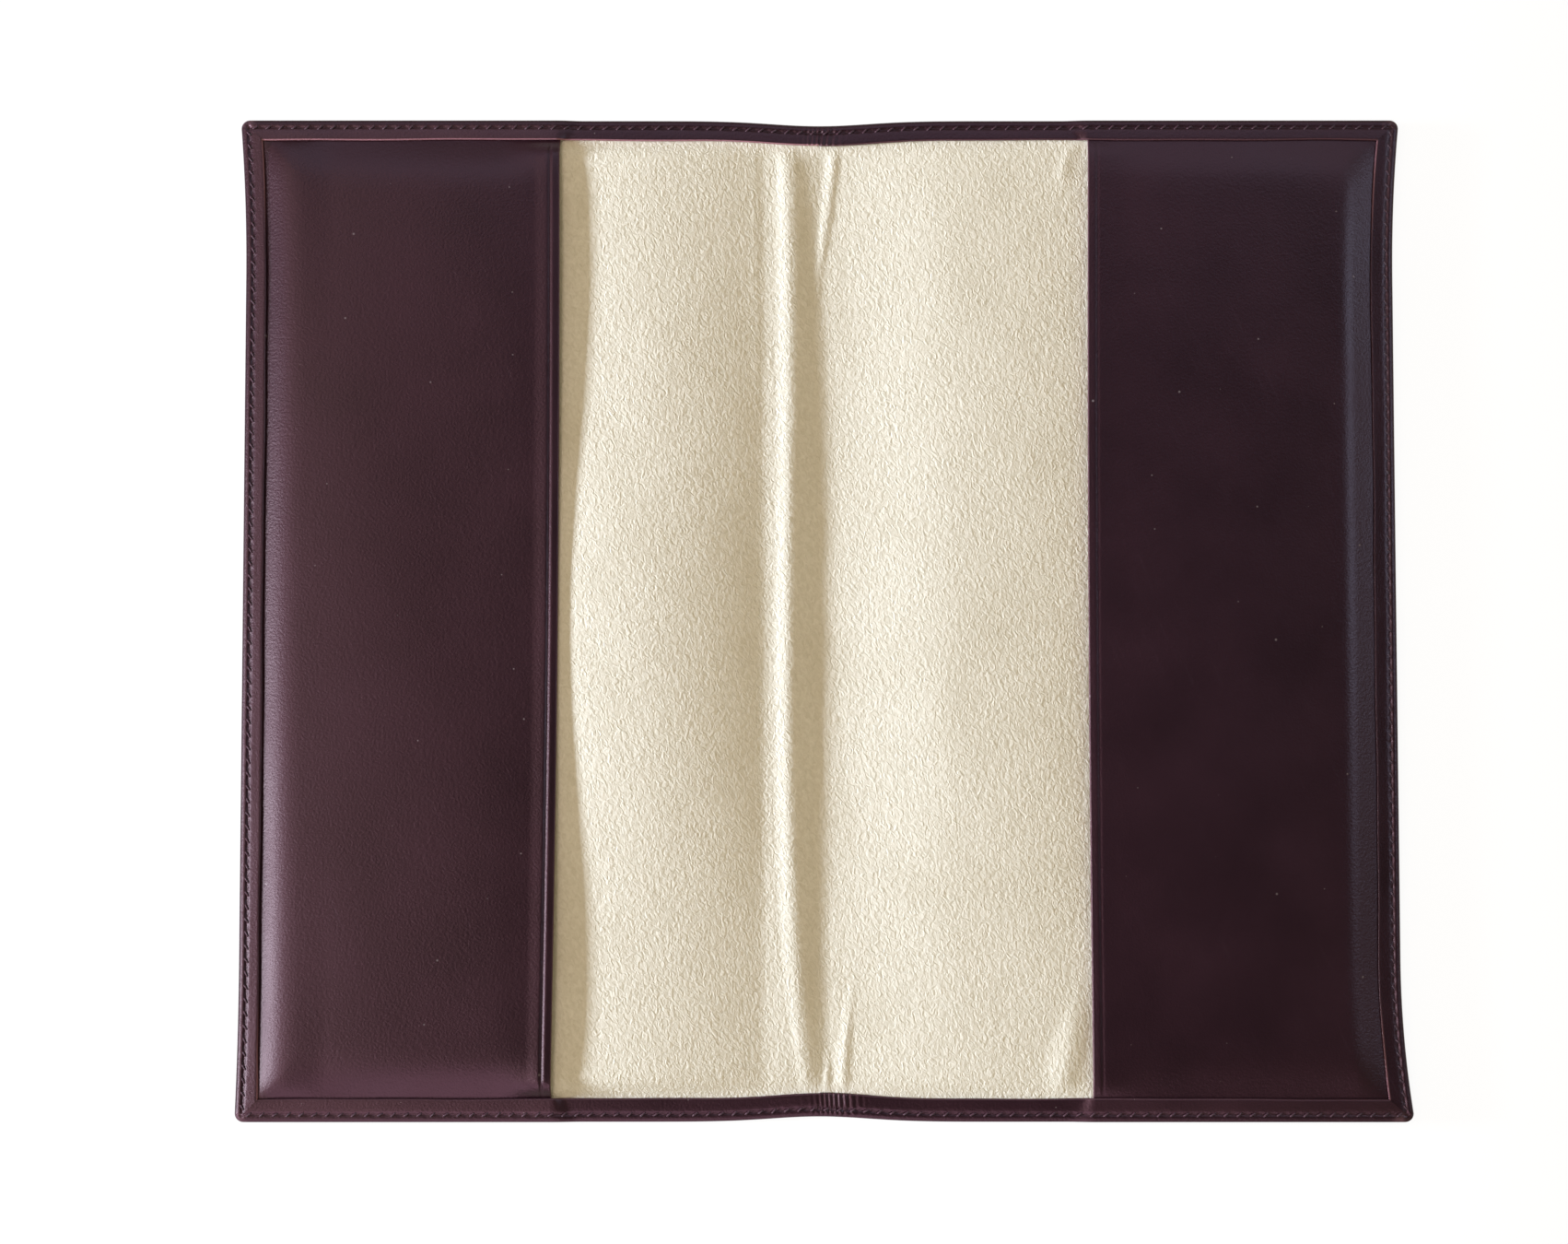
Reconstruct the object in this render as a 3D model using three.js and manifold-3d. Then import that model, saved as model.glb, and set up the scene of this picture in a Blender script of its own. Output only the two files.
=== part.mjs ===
// A document case lying open, inside up: a leather cover with turned-in edges, a loose suede lining,
// two pocket panels and the stitching. Millimetres, Z up, X across the open case, Y along the spine.
import * as THREE from "three";
import ManifoldModule from "manifold-3d";

// Outline of the open case
const HALF_WIDTH = 132.3; // at mid-height, where the sides are pinched in
const CORNER_FLARE = 1.6; // how much further out the corners stand
const FLARE_START = 78; // height on the side where the flare begins
const HALF_HEIGHT = 115;
const SPINE_DIP = 1.2; // how far the top and bottom edges are drawn in at the spine
const SPINE_DIP_WIDTH = 11;
const CORNER_RADIUS = 2;

// Sheets, from the table upwards
const COVER_THICKNESS = 1.1;
const BOARD_THICKNESS = 0.4;
const LINING_THICKNESS = 0.5;
const POCKET_THICKNESS = 1;
const EDGE_THICKNESS = 0.6; // the cover leather is thinned where it is turned in
const LAYER_GAP = 0.05;
const CUT_GAP = 0.3;

// Levels of those sheets
const BOARD_BASE = COVER_THICKNESS + LAYER_GAP;
const LINING_BASE = BOARD_BASE + BOARD_THICKNESS + LAYER_GAP;
const LINING_TOP = LINING_BASE + LINING_THICKNESS;
const POCKET_BASE = LINING_TOP + LAYER_GAP;
const LOW_EDGE_BASE = LINING_TOP + LAYER_GAP;
const LOW_EDGE_TOP = LOW_EDGE_BASE + EDGE_THICKNESS;
const HIGH_EDGE_BASE = POCKET_BASE + POCKET_THICKNESS + LAYER_GAP;
const HIGH_EDGE_TOP = HIGH_EDGE_BASE + EDGE_THICKNESS;

// Turned-in edge and what is tucked under it
const EDGE_WIDTH = 4.7;
const EDGE_ROUNDING = 0.5;
const EDGE_ROUNDING_STEPS = 2;
const TUCK_X = 131.1;
const TUCK_Y = 112.3;

// Spine creases, and how far each layer stops from one so that it folds to a right angle
const CREASE_X = 7;
const COVER_CREASE_GAP = 0.15;
const LINING_CREASE_GAP = 1.15;
const EDGE_CREASE_GAP = 1.8;
const BOARD_CREASE_GAP = 7; // leaves the leather free to bend

// Pockets
const LEFT_MOUTH = 60.5;
const RIGHT_MOUTH = 62.1;
const POCKET_RISE = 4.08; // room for a few folded papers
const SIDE_SHOULDER = 12;
const END_SHOULDER = 11;
const SHOULDER_STEPS = 5;

// Loose lining
const LINING_SWELL = 1.5;
const SWELL_END = 57;
const SWELL_STEPS = 10;
const RIDGE_HEIGHT = 3.3;
const RIDGE_X = -3.4;
const RIDGE_LEFT_WIDTH = 2.2;
const RIDGE_RIGHT_WIDTH = 9;
const RIDGE_STEPS = 16;
const LOOSE_END_Y = 108; // the lining lies flat from here to the turned edge
const LOOSE_RAMP = 22;
const LOOSE_STEPS = 4;

// Stitching
const STITCH_INSET = 1.8;
const THREAD_WIDTH = 0.6;
const THREAD_HEIGHT = 0.25;

// Surfaces
const LEATHER = { color: "#3b2128", roughness: 0.38, metalness: 0 };
const SUEDE = { color: "#e6dcc6", roughness: 0.95, metalness: 0 };
const BOARD = { color: "#8b7355", roughness: 0.9, metalness: 0 };
const THREAD = { color: "#2c151b", roughness: 0.6, metalness: 0 };

const HIGH = 50; // taller and wider than anything on the case
const WIDE = 200;

const manifold = await ManifoldModule();
manifold.setup();
const { Manifold, Mesh } = manifold;

function solidFrom(geometry) {
  const loose = geometry.index ? geometry.toNonIndexed() : geometry;
  const position = loose.getAttribute("position");
  const solidMesh = new Mesh({
    numProp: 3,
    vertProperties: Float32Array.from(position.array),
    triVerts: Uint32Array.from({ length: position.count }, (_, i) => i),
  });
  solidMesh.merge();
  return new Manifold(solidMesh);
}

function geometryFrom(solid) {
  const { vertProperties, triVerts } = solid.getMesh();
  const geometry = new THREE.BufferGeometry();
  geometry.setAttribute("position", new THREE.BufferAttribute(vertProperties, 3));
  geometry.setIndex(new THREE.BufferAttribute(triVerts, 1));
  return geometry;
}

function block(x0, x1, y0, y1, z0, z1) {
  const box = new THREE.BoxGeometry(x1 - x0, y1 - y0, z1 - z0);
  box.translate((x0 + x1) / 2, (y0 + y1) / 2, (z0 + z1) / 2);
  return solidFrom(box.deleteAttribute("normal").deleteAttribute("uv"));
}

// The part of a solid between two distances from the spine, on one side of it
function onSide(solid, side, near, far) {
  const ends = [side * near, side * far];
  return solid.intersect(block(Math.min(...ends), Math.max(...ends), -WIDE, WIDE, -HIGH, HIGH));
}

// The part of a solid within a distance of the spine's middle
const acrossSpine = (solid, reach) => solid.intersect(block(-reach, reach, -WIDE, WIDE, -HIGH, HIGH));

// Where the side and the end of the case are
function sideAt(y) {
  const flare = Math.max(0, (Math.abs(y) - FLARE_START) / (HALF_HEIGHT - FLARE_START));
  return HALF_WIDTH + CORNER_FLARE * flare * flare;
}

function endAt(x) {
  return HALF_HEIGHT - SPINE_DIP * Math.exp(-((x / SPINE_DIP_WIDTH) ** 2) / 2);
}

const END_STATIONS = [0, 4, 8, 12, 16, 20, 25, 32, 60, 100];
const SIDE_STATIONS = [0, 78, 86, 93, 100, 106];
const CORNER_STEPS = 4;

// The case's outline, drawn in by a margin. One quarter is walked from the spine to the side.
function outline(margin) {
  const radius = Math.max(CORNER_RADIUS - margin, EDGE_ROUNDING);
  const cornerX = sideAt(HALF_HEIGHT) - margin - radius;
  const cornerY = HALF_HEIGHT - margin - radius;
  const quarter = END_STATIONS.map((x) => [x, endAt(x) - margin]);
  for (let i = 0; i <= CORNER_STEPS; i++) {
    const angle = ((1 - i / CORNER_STEPS) * Math.PI) / 2;
    quarter.push([cornerX + radius * Math.cos(angle), cornerY + radius * Math.sin(angle)]);
  }
  for (const y of SIDE_STATIONS.toReversed()) quarter.push([sideAt(y) - margin, y]);
  const half = [...quarter, ...quarter.slice(0, -1).map(([x, y]) => [x, -y]).reverse()];
  const whole = [...half, ...half.slice(1, -1).map(([x, y]) => [-x, y]).reverse()];
  return new THREE.Shape(whole.map(([x, y]) => new THREE.Vector2(x, y)).reverse());
}

function slab(margin, z0, z1) {
  const plate = new THREE.ExtrudeGeometry(outline(margin), { depth: z1 - z0, bevelEnabled: false });
  return solidFrom(plate.translate(0, 0, z0));
}

function roundedSlab(height) {
  const plate = new THREE.ExtrudeGeometry(outline(EDGE_ROUNDING), {
    depth: height - 2 * EDGE_ROUNDING,
    bevelThickness: EDGE_ROUNDING,
    bevelSize: EDGE_ROUNDING,
    bevelSegments: EDGE_ROUNDING_STEPS,
  });
  return solidFrom(plate.translate(0, 0, EDGE_ROUNDING));
}

// A leather cover with the edge turned in: high over a pocket panel, low over the bare lining.
function coverSolid(side, mouth) {
  const step = mouth - CUT_GAP;
  const high = onSide(roundedSlab(HIGH_EDGE_TOP), side, step - EDGE_THICKNESS, WIDE);
  const low = onSide(roundedSlab(LOW_EDGE_TOP), side, CREASE_X + COVER_CREASE_GAP, mouth);
  const highRoom = onSide(slab(EDGE_THICKNESS, COVER_THICKNESS, HIGH_EDGE_BASE), side, step, WIDE);
  const lowRoom = slab(EDGE_THICKNESS, COVER_THICKNESS, LOW_EDGE_BASE);
  const window = slab(EDGE_WIDTH, COVER_THICKNESS, HIGH);
  const crease = onSide(slab(-EDGE_WIDTH, COVER_THICKNESS, HIGH), side, 0, CREASE_X + EDGE_CREASE_GAP);
  return high.add(low).subtract(highRoom).subtract(lowRoom).subtract(window).subtract(crease);
}

function spineSolid() {
  const strip = acrossSpine(roundedSlab(LOW_EDGE_TOP), CREASE_X - COVER_CREASE_GAP);
  const room = slab(EDGE_THICKNESS, COVER_THICKNESS, LOW_EDGE_BASE);
  const window = slab(EDGE_WIDTH, COVER_THICKNESS, HIGH);
  const above = slab(-EDGE_WIDTH, COVER_THICKNESS, HIGH);
  const creases = above.subtract(acrossSpine(above, CREASE_X - EDGE_CREASE_GAP));
  return strip.subtract(room).subtract(window).subtract(creases);
}

// A sheet of even thickness over a grid of stations, its underside at the height given for each place
function sheet(xs, ys, underside, thickness) {
  const grid = new THREE.BoxGeometry(1, 1, 1, xs.length - 1, ys.length - 1, 1);
  grid.deleteAttribute("normal").deleteAttribute("uv");
  const position = grid.getAttribute("position");
  for (let i = 0; i < position.count; i++) {
    const x = xs[Math.round((position.getX(i) + 0.5) * (xs.length - 1))];
    const y = ys[Math.round((position.getY(i) + 0.5) * (ys.length - 1))];
    const top = position.getZ(i) > 0;
    position.setXYZ(i, x, y, underside(x, y) + (top ? thickness : 0));
  }
  return grid;
}

const evenly = (from, to, steps) =>
  Array.from({ length: steps + 1 }, (_, i) => from + ((to - from) * i) / steps);
const mirrored = (values) => [...values.map((v) => -v).reverse(), ...values.filter((v) => v > 0)];
const sided = (side, values) => (side > 0 ? values : values.map((v) => -v).reverse());

// A panel's rise: steepest at the turned edge, flat once the shoulder is passed
const shoulder = (distance, width) => Math.sin((Math.min(Math.max(distance / width, 0), 1) * Math.PI) / 2);

function pocketGeometry(side, mouth) {
  const sideLine = HALF_WIDTH - EDGE_WIDTH;
  const endLine = HALF_HEIGHT - EDGE_WIDTH;
  const xs = [mouth, ...evenly(sideLine - SIDE_SHOULDER, sideLine, SHOULDER_STEPS), TUCK_X];
  const ys = mirrored([0, ...evenly(endLine - END_SHOULDER, endLine, SHOULDER_STEPS), TUCK_Y]);
  const underside = (x, y) =>
    POCKET_BASE +
    POCKET_RISE *
      shoulder(sideLine - Math.abs(x), SIDE_SHOULDER) *
      shoulder(endLine - Math.abs(y), END_SHOULDER);
  return sheet(sided(side, xs), ys, underside, POCKET_THICKNESS);
}

// How far the lining is free to lift: nowhere near the turned edges, fully in the middle
function looseness(y) {
  const t = Math.min(Math.max((LOOSE_END_Y - Math.abs(y)) / LOOSE_RAMP, 0), 1);
  return t * t * (3 - 2 * t);
}

const LINING_YS = mirrored([0, ...evenly(LOOSE_END_Y - LOOSE_RAMP, LOOSE_END_Y, LOOSE_STEPS), TUCK_Y]);

function liningGeometry(side) {
  const nearCrease = CREASE_X + LINING_CREASE_GAP;
  const xs = [...evenly(nearCrease, SWELL_END, SWELL_STEPS), TUCK_X];
  const swell = (x) => {
    const t = (Math.abs(x) - nearCrease) / (SWELL_END - nearCrease);
    return t > 1 ? 0 : Math.sin(t * Math.PI) ** 2;
  };
  const underside = (x, y) => LINING_BASE + LINING_SWELL * swell(x) * looseness(y);
  return sheet(sided(side, xs), LINING_YS, underside, LINING_THICKNESS);
}

// Along the spine the lining stands up in one long fold, steep on its left and easy on its right.
function spineLiningGeometry() {
  const reach = CREASE_X - LINING_CREASE_GAP;
  const fold = (x) => {
    const width = x < RIDGE_X ? RIDGE_LEFT_WIDTH : RIDGE_RIGHT_WIDTH;
    const t = Math.min(Math.abs(x - RIDGE_X) / width, 1);
    return (1 + Math.cos(t * Math.PI)) / 2;
  };
  const underside = (x, y) => LINING_BASE + RIDGE_HEIGHT * fold(x) * looseness(y);
  return sheet(evenly(-reach, reach, RIDGE_STEPS), LINING_YS, underside, LINING_THICKNESS);
}

function boardGeometry(side) {
  const x0 = CREASE_X + BOARD_CREASE_GAP;
  const board = new THREE.BoxGeometry(TUCK_X - x0, 2 * TUCK_Y, BOARD_THICKNESS);
  return board.translate((side * (x0 + TUCK_X)) / 2, 0, BOARD_BASE + BOARD_THICKNESS / 2);
}

// A run of thread lies along the outline, on the turned edge.
function threadRun(base, height) {
  const outer = slab(STITCH_INSET - THREAD_WIDTH / 2, base, base + height);
  return outer.subtract(slab(STITCH_INSET + THREAD_WIDTH / 2, 0, HIGH));
}

// On a cover the thread drops from the high edge to the low one beside the pocket's mouth.
function stitchingSolid(side, mouth) {
  const highBase = HIGH_EDGE_TOP + LAYER_GAP;
  const lowBase = LOW_EDGE_TOP + LAYER_GAP;
  const drop = mouth - CUT_GAP - EDGE_THICKNESS - LAYER_GAP;
  const high = onSide(threadRun(highBase, THREAD_HEIGHT), side, drop - THREAD_HEIGHT, WIDE);
  const low = onSide(threadRun(lowBase, THREAD_HEIGHT), side, CREASE_X + EDGE_CREASE_GAP + CUT_GAP, drop);
  const rise = threadRun(lowBase, highBase + THREAD_HEIGHT - lowBase);
  return high.add(low).add(onSide(rise, side, drop - THREAD_HEIGHT, drop));
}

function spineStitchingSolid(end) {
  const run = threadRun(LOW_EDGE_TOP + LAYER_GAP, THREAD_HEIGHT);
  const strip = acrossSpine(run, CREASE_X - EDGE_CREASE_GAP - CUT_GAP);
  return strip.intersect(block(-WIDE, WIDE, Math.min(0, end * WIDE), Math.max(0, end * WIDE), 0, HIGH));
}

const documentCase = new THREE.Group();
documentCase.name = "document_case";

function place(name, geometry, surface) {
  const mesh = new THREE.Mesh(geometry, new THREE.MeshStandardMaterial(surface));
  mesh.name = name;
  documentCase.add(mesh);
}

for (const [word, side, mouth] of [
  ["left", -1, LEFT_MOUTH],
  ["right", 1, RIGHT_MOUTH],
]) {
  place(`cover_${word}`, geometryFrom(coverSolid(side, mouth)), LEATHER);
  place(`stiffener_${word}`, boardGeometry(side), BOARD);
  place(`lining_${word}`, liningGeometry(side), SUEDE);
  place(`pocket_${word}`, pocketGeometry(side, mouth), LEATHER);
  place(`stitching_${word}`, geometryFrom(stitchingSolid(side, mouth)), THREAD);
}

place("cover_spine", geometryFrom(spineSolid()), LEATHER);
place("lining_spine", spineLiningGeometry(), SUEDE);
place("stitching_spine_top", geometryFrom(spineStitchingSolid(1)), THREAD);
place("stitching_spine_bottom", geometryFrom(spineStitchingSolid(-1)), THREAD);

export default documentCase;
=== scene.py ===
# %% [markdown]
# # A leather document case, lying open
# This lesson dresses a imported CAD model of a slim folding case: one dark oxblood hide with its edges
# turned in and stitched, a loose cream suede lining, and a leather pocket in each cover. The CAD model
# gives the sizes, the bodies and the two creases of the spine. Here its plain leather, lining and
# thread are replaced by meshes that have the roll of a turned edge, the sag of suede and the single
# stitches.

# %% Load the frame
import math
import bmesh
import bpy
import numpy as np
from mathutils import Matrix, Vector


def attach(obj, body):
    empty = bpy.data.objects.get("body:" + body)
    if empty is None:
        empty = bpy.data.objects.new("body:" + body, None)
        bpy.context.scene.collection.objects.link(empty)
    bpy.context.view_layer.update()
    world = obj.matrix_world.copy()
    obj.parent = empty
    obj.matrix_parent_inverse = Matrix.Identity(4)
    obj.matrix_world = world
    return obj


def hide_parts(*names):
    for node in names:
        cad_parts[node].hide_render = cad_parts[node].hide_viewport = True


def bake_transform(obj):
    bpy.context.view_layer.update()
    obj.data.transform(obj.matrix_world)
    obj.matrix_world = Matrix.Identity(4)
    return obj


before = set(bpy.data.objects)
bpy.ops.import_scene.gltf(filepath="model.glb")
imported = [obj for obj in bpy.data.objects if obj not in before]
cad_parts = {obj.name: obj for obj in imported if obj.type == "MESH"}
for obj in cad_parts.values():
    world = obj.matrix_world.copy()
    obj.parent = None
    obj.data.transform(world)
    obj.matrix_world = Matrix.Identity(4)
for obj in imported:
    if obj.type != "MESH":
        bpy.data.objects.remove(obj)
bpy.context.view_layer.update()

MM = 0.001

# %% [markdown]
# ## The outline and the levels
# Leather goods are cut from flat patterns, so every piece here starts from the same outline: a
# rectangle whose corners flare a little and whose top and bottom are drawn in where the spine bends.
# The sheets lie on each other at fixed levels above the table. Writing the outline as two small
# functions lets the turned edge, the pockets and the lining all follow it.

# %% Sizes, in millimetres
HALF_WIDTH = 132.3
HALF_HEIGHT = 115.0
# how far the sides flare out at each corner, left or right and top or bottom, and from what height on
FLARES = {(-1, 1): 1.6, (-1, -1): 0.7, (1, 1): 1.9, (1, -1): 2.9}
FLARE_START = 78.0
# how far the spine draws in the top and the bottom, and over what width
SPINE_DIP = 1.2
SPINE_DIP_WIDTH = 11.0
CORNER_RADIUS = 2.0
# the sheets' thicknesses, the levels of their lower faces, and the top of the turned edge
COVER_THICKNESS = 1.1
LINING_BASE = 1.6
LINING_THICKNESS = 0.5
POCKET_BASE = 2.15
POCKET_THICKNESS = 1.0
LOW_EDGE_TOP = 2.6
HIGH_EDGE_TOP = 3.24
HEM_WIDTHS = {"left": 4.9, "right": 5.1, "top": 4.75, "bottom": 5.4}
# distance of the left and the right pocket's mouth from the spine
MOUTHS = {-1: 60.5, 1: 62.1}
# how far the lining and the pockets reach under the turned edge
TUCK_X = 131.1
TUCK_Y = 112.3
WORDS = {-1: "left", 1: "right"}
# the turned edge steps up at a pocket's mouth: length of the step at the inset where it is shortest, and how
# much longer it gets for each millimetre outwards
STEP_LENGTH, STEP_INSET, STEP_SPREAD = 2.2, 4.5, 0.9
STEP_PAST_MOUTH = 0.2


def smoothstep(value, low, high):
    t = np.clip((value - low) / (high - low), 0, 1)
    return t * t * (3 - 2 * t)


def side_at(y, side):
    """Distance from the spine to the cover's outer edge at a height y."""
    flare = np.clip((np.abs(y) - FLARE_START) / (HALF_HEIGHT - FLARE_START), 0, None)
    reach = np.where(np.asarray(y) > 0, FLARES[side, 1], FLARES[side, -1])
    return HALF_WIDTH + reach * flare**2


def end_at(x):
    """Distance from the middle to the top or bottom edge at a distance x from the spine."""
    return HALF_HEIGHT - SPINE_DIP * np.exp(-((x / SPINE_DIP_WIDTH) ** 2) / 2)


def edge_height(x, side, inset):
    """Top of the turned edge: high over a pocket, low over the bare lining, eased more at its outside."""
    ease = STEP_LENGTH + STEP_SPREAD * np.clip(STEP_INSET - inset, 0, None)
    over_pocket = smoothstep(np.abs(x), MOUTHS[side] - ease, MOUTHS[side] + STEP_PAST_MOUTH)
    return LOW_EDGE_TOP + (HIGH_EDGE_TOP - LOW_EDGE_TOP) * over_pocket


print("half width at the four corners:", {k: HALF_WIDTH + v for k, v in FLARES.items()})

# %% [markdown]
# ## From points to a piece
# Every sheet below is a block of points computed with numpy and joined into quads. One helper turns
# points and faces into a smooth-shaded object and makes all faces look outwards. It also keeps each
# point's resting place as a mesh attribute: the materials read their patterns from it, so the grain
# stays on the leather when the case folds instead of swimming through it.

# %% Helpers for meshes
SHARP_ANGLE = math.radians(60)


def make_piece(name, points, faces, **marks):
    mesh = bpy.data.meshes.new(name)
    mesh.from_pydata((points * MM).tolist(), [], faces)
    shell = bmesh.new()
    shell.from_mesh(mesh)
    bmesh.ops.recalc_face_normals(shell, faces=shell.faces)
    shell.to_mesh(mesh)
    shell.free()
    mesh.shade_smooth()
    mesh.set_sharp_from_angle(angle=SHARP_ANGLE)
    place = mesh.attributes.new("place", "FLOAT_VECTOR", "POINT")
    place.data.foreach_set("vector", points.astype(np.float32).ravel())
    for mark, values in marks.items():
        layer = mesh.attributes.new(mark, "FLOAT", "POINT")
        layer.data.foreach_set("value", np.asarray(values, np.float32).ravel())
    piece = bpy.data.objects.new(name, mesh)
    bpy.context.scene.collection.objects.link(piece)
    low, high = points.min(0).round(2).tolist(), points.max(0).round(2).tolist()
    print(f"{name}: {len(mesh.polygons)} faces, from {low} to {high} mm")
    return piece


def grid_faces(rows, columns, first=0):
    corner = first + (np.arange(rows - 1)[:, None] * columns + np.arange(columns - 1)[None, :]).ravel()
    return np.stack([corner, corner + 1, corner + columns + 1, corner + columns], 1).tolist()


def thick_sheet(top, bottom):
    """Points and faces of a closed sheet between two grids of the same shape."""
    rows, columns = top.shape[:2]
    count = rows * columns
    points = np.concatenate([top.reshape(-1, 3), bottom.reshape(-1, 3)])
    index = np.arange(count).reshape(rows, columns)
    border = np.concatenate([index[0, :], index[1:, -1], index[-1, -2::-1], index[-2:0:-1, 0]])
    following = np.roll(border, -1)
    walls = np.stack([border, following, following + count, border + count], 1).tolist()
    return points, grid_faces(rows, columns) + grid_faces(rows, columns, count) + walls


def fold_with_case(piece, side):
    """Bakes a piece's placement into its mesh; it sets up no bend at the crease."""
    if side < 0:
        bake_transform(piece)
    else:
        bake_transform(piece)


# %% [markdown]
# ## The outer cover and its turned edge
# The cover is one hide. Its edge is pared thin, turned over the lining and the pockets, and stitched
# down, so seen in section it is a U lying on its side. A bevelled slab would lose the soft roll, the
# raised inner part and the groove that the thread pulls in. So the section is drawn once as a list of
# points and swept round the outline, and a flat panel of large quads fills the outside and the inside
# of the cover. The cover is split at the middle of the spine, because each half bends at its own
# crease.

# %% The section of the turned edge
PANEL_INSET = 7.0
STITCH_INSET = 1.8
# the section is drawn for this width of the turned edge, and stretched to the real one later
HEM_WIDTH = 4.7
# inset from the outline, height, and 1 where that height is measured from the top of the turned edge
SECTION = np.array([
    (PANEL_INSET, 0.0, 0), (3.0, 0.0, 0), (2.35, 0.0, 0), (2.08, 0.08, 0), (STITCH_INSET, 0.24, 0),
    (1.52, 0.08, 0), (1.25, 0.0, 0), (0.9, 0.03, 0), (0.5, 0.18, 0), (0.2, 0.46, 0), (0.04, 0.86, 0),
    (0.0, 1.15, 0), (0.0, -1.0, 1), (0.05, -0.66, 1), (0.2, -0.35, 1), (0.45, -0.15, 1), (0.8, -0.04, 1),
    (1.15, 0.0, 1), (1.4, -0.04, 1), (1.62, -0.15, 1), (STITCH_INSET, -0.2, 1), (1.98, -0.15, 1),
    (2.2, -0.05, 1), (2.6, 0.0, 1), (3.1, 0.03, 1), (3.6, 0.08, 1), (4.0, 0.12, 1), (4.36, 0.15, 1),
    (4.52, 0.13, 1), (4.62, 0.05, 1), (4.68, -0.07, 1), (HEM_WIDTH, -0.22, 1), (4.66, -0.38, 1),
    (4.4, -0.43, 1), (0.95, -0.43, 1), (0.66, -0.7, 1), (0.6, 1.3, 0), (0.75, COVER_THICKNESS, 0),
    (PANEL_INSET, COVER_THICKNESS, 0),
])
# which of these points are the outer roll, the flat of the turned edge and its cut inner edge
ROLL_POINTS, FLAT_POINTS, CUT_POINTS = slice(8, 18), slice(18, 28), slice(28, 33)
print(len(SECTION), "points in the section of the turned edge")

# %% Stations round one half of the outline
# the runs of one half, in their order
TOP, TOP_CORNER, SIDE, BOTTOM_CORNER, BOTTOM = range(5)
CREASE_ZONE = 14.0
FINE_STEP = 0.25
END_COUNT, SIDE_COUNT = 236, 456
CORNER_STEPS = 6
CORNER_MIDDLE = (CORNER_STEPS - 1) // 2
LEAST_RADIUS = 0.02
CORNER_EASE = 14.0
corner_x = HALF_WIDTH - CORNER_RADIUS
corner_y = HALF_HEIGHT - CORNER_RADIUS
end_stations = np.concatenate([np.arange(0, CREASE_ZONE, FINE_STEP),
                               np.linspace(CREASE_ZONE, corner_x, END_COUNT)])
side_stations = np.linspace(corner_y, -corner_y, SIDE_COUNT)
corner_angles = np.radians(np.linspace(90, 0, CORNER_STEPS + 1))[1:-1]
run_of = np.concatenate([np.full(len(end_stations), TOP), np.full(len(corner_angles), TOP_CORNER),
                         np.full(len(side_stations), SIDE), np.full(len(corner_angles), BOTTOM_CORNER),
                         np.full(len(end_stations), BOTTOM)])
# each station's place in its run: a distance from the spine, an angle or a distance from the middle
value_of = np.concatenate([end_stations, corner_angles, side_stations, -corner_angles[::-1],
                           end_stations[::-1]])
STATIONS = len(run_of)


def hem_widths(side):
    """Width of the turned edge at each station, eased from one side to the next near the corners."""
    named = [HEM_WIDTHS["top"], 0, HEM_WIDTHS[WORDS[side]], 0, HEM_WIDTHS["bottom"]]
    named[TOP_CORNER] = (named[TOP] + named[SIDE]) / 2
    named[BOTTOM_CORNER] = (named[SIDE] + named[BOTTOM]) / 2
    widths = np.choose(run_of, named)
    near = smoothstep(value_of, corner_x - CORNER_EASE, corner_x)
    for run, corner in ((TOP, TOP_CORNER), (BOTTOM, BOTTOM_CORNER)):
        widths = np.where(run_of == run, named[run] + (named[corner] - named[run]) * near, widths)
    for corner, sign in ((TOP_CORNER, 1), (BOTTOM_CORNER, -1)):
        near = smoothstep(sign * value_of, corner_y - CORNER_EASE, corner_y) * (run_of == SIDE)
        widths = widths + (named[corner] - named[SIDE]) * near
    return widths


def on_outline(inset, side):
    """Plan positions of all stations, drawn in from the outline by an inset for each."""
    held = np.maximum(inset, CORNER_RADIUS)
    radius = np.maximum(CORNER_RADIUS - inset, LEAST_RADIUS)
    up = np.where((run_of <= TOP_CORNER) | ((run_of == SIDE) & (value_of > 0)), 1, -1)
    centre_y = HALF_HEIGHT - held
    centre_x = side_at(up * centre_y, side) - held
    x_end = value_of * centre_x / corner_x
    y_side = value_of * centre_y / corner_y
    is_end, is_side = (run_of == TOP) | (run_of == BOTTOM), run_of == SIDE
    x = np.where(is_end, x_end, np.where(is_side, side_at(y_side, side) - inset,
                                         centre_x + radius * np.cos(value_of)))
    y = np.where(is_end, up * (end_at(x_end) - inset),
                 np.where(is_side, y_side, up * centre_y + radius * np.sin(value_of)))
    return x, y


print(STATIONS, "stations round each half of the cover")

# %% Where the stitches go
STITCH_PITCH = 3.0


def stitch_line(side):
    """The line that the thread follows: plan points, the length along it, and the holes' places."""
    x, y = on_outline(np.full(STATIONS, STITCH_INSET), side)
    length = np.concatenate([[0], np.cumsum(np.hypot(np.diff(x), np.diff(y)))])
    corners = [np.flatnonzero(run_of == run)[CORNER_MIDDLE] for run in (TOP_CORNER, BOTTOM_CORNER)]
    middles = [0, *corners, STATIONS - 1]
    holes = [0.0]
    for start, end in zip(middles[:-1], middles[1:]):
        count = round((length[end] - length[start]) / STITCH_PITCH)
        holes += np.linspace(length[start], length[end], count + 1)[1:].tolist()
    return x, y, length, np.array(holes)


print("holes for the thread on each half:", [len(stitch_line(side)[3]) for side in (-1, 1)])

# %% Sweep the section and fill the panels
PANEL_STEP, CREASE_PANEL_STEP = 8, 4


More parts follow.
